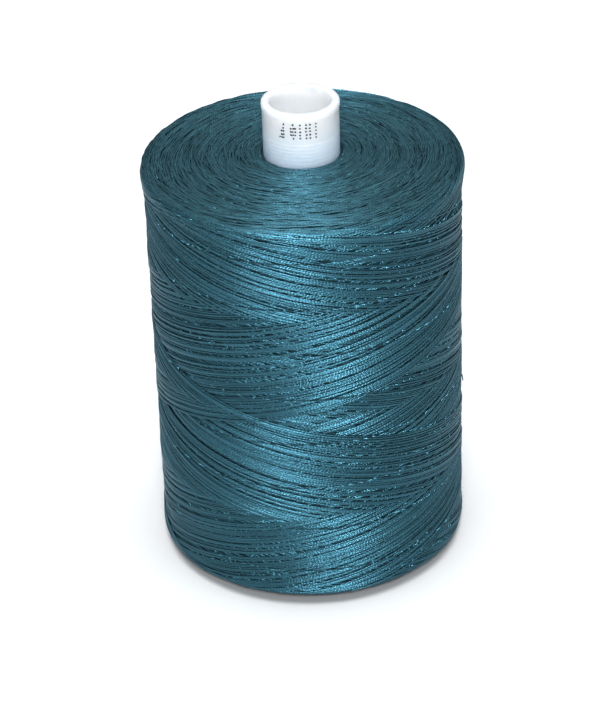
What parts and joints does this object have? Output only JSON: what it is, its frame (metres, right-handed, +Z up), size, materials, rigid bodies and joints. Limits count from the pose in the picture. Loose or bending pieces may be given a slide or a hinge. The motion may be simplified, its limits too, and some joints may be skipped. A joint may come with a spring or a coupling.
{
  "type": "sewing thread spool",
  "caption": "Spool of sewing thread: a cross-wound cylindrical package of thread on a straight plastic tube with an open bore.",
  "frame": {"origin": "centre of the tube's lower rim, on the surface that the spool stands on", "axes": "+Z up along the tube's axis, towards the bare collar; -Y is the front"},
  "size_m": [0.063, 0.063, 0.0977],
  "materials": {
    "tube_plastic": "translucent moulded, satin",
    "thread": "spun polyester sewing thread, soft sheen"
  },
  "bodies": {
    "root": {"spool_tube": "tube_plastic", "thread_package": "thread", "thread_tail": "thread"}
  },
  "joints": []
}
